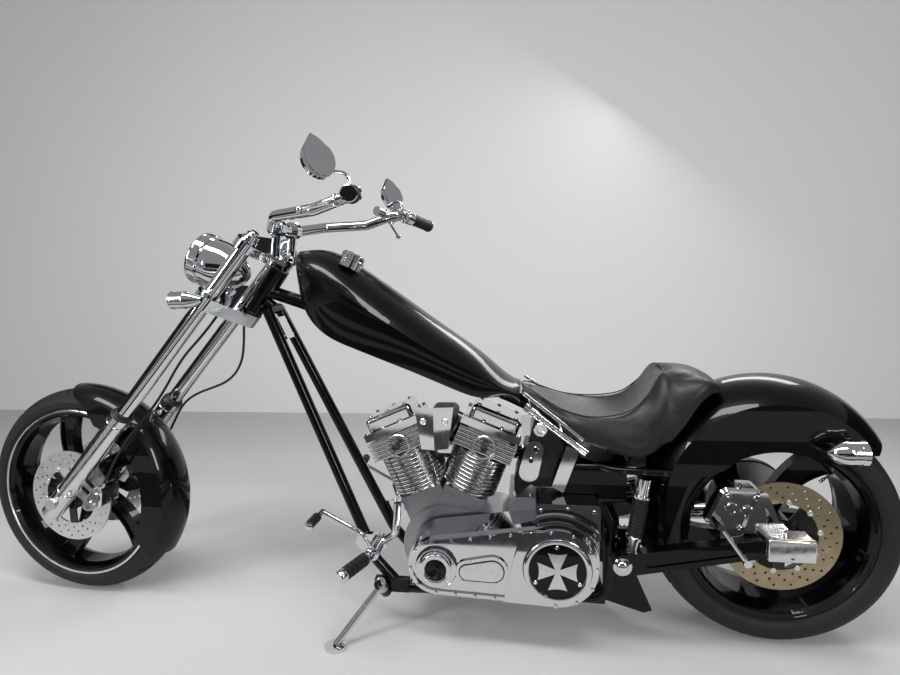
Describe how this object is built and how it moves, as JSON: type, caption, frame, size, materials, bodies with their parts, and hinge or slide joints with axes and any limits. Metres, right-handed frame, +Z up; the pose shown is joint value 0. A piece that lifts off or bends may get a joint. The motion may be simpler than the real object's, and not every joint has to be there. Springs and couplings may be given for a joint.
{
  "type": "chopper motorcycle",
  "caption": "Long, low V-twin chopper motorcycle with a raked fork, stretched tank and fat rear tyre, leaning on its side stand.",
  "frame": {"origin": "on the ground under the middle of the parked machine's bounding box", "axes": "+X rearward along the machine, +Y to the rider's right, +Z up; the machine leans towards -Y"},
  "size_m": [2.8194, 0.8034, 1.3845],
  "materials": {
    "black_gloss": "gloss black lacquer",
    "black_satin": "satin black paint",
    "chrome": "polished chrome",
    "polished": "polished aluminium",
    "cast": "cast aluminium",
    "steel": "bright steel",
    "tyre": "black tyre rubber",
    "rubber": "black rubber",
    "seat": "dark leather",
    "lens_clear": "clear ribbed glass",
    "lens_red": "red lens"
  },
  "bodies": {
    "frame": {"frame_backbone": "black_gloss", "frame_downtubes": "black_gloss", "frame_lower_rails": "black_gloss", "swingarm": "black_satin", "axle_boxes": "polished", "regulator": "chrome", "crankcase": "polished", "cylinders": "polished", "rocker_boxes": "chrome", "pushrod_tubes": "chrome", "v_cover": "chrome", "primary_cover": "chrome", "primary_caps": "black_gloss", "transmission": "polished", "front_pulley": "cast", "drive_belt": "rubber", "fuel_tank": "black_gloss", "fuel_cap": "chrome", "seat": "seat", "oil_tank": "black_gloss", "coil_bracket": "chrome", "rear_damper": "chrome", "rear_fender": "black_gloss", "rear_lamp_pods": "chrome", "rear_lamp_lenses": "lens_red", "rear_caliper": "polished", "rear_axle": "steel", "exhaust_pipes": "chrome", "air_cleaner": "chrome", "left_foot_controls": "chrome", "right_foot_controls": "chrome"},
    "fork": {"fork_tubes": "chrome", "fork_sliders": "chrome", "triple_trees": "chrome", "handlebar": "chrome", "grips": "rubber", "hand_controls": "chrome", "mirrors": "chrome", "headlight": "chrome", "headlight_lens": "lens_clear", "front_signals": "chrome", "front_fender": "black_gloss", "front_calipers": "polished", "front_axle": "steel", "left_brake_hose": "rubber", "right_brake_hose": "rubber"},
    "front_wheel": {"front_tyre": "tyre", "front_rim": "black_gloss", "front_disc_carriers": "black_satin", "front_discs": "steel"},
    "rear_wheel": {"rear_tyre": "tyre", "rear_rim": "black_gloss", "rear_disc_carrier": "black_satin", "rear_disc": "steel", "rear_pulley": "cast"},
    "side_stand": {"side_stand": "black_satin"}
  },
  "joints": [
    {"name": "steering", "type": "hinge", "parent": "frame", "child": "fork", "pos_m": [-0.42998, 0.02679, 0.92138], "axis": [0.6157, -0.0632, 0.7855], "range_deg": [-26.6, 33.4]},
    {"name": "front_wheel_spin", "type": "hinge", "parent": "fork", "child": "front_wheel", "pos_m": [-1.06505, 0.08174, 0.34526], "axis": [0.0467, 0.998, 0.0437], "continuous": true},
    {"name": "rear_wheel_spin", "type": "hinge", "parent": "frame", "child": "rear_wheel", "pos_m": [1.08475, 0.07479, 0.32479], "axis": [0, 0.9968, 0.0802], "continuous": true},
    {"name": "side_stand_fold", "type": "hinge", "parent": "frame", "child": "side_stand", "pos_m": [-0.00325, -0.05606, 0.13067], "axis": [-0.1381, -0.6835, 0.7168], "range_deg": [0, 100]}
  ]
}
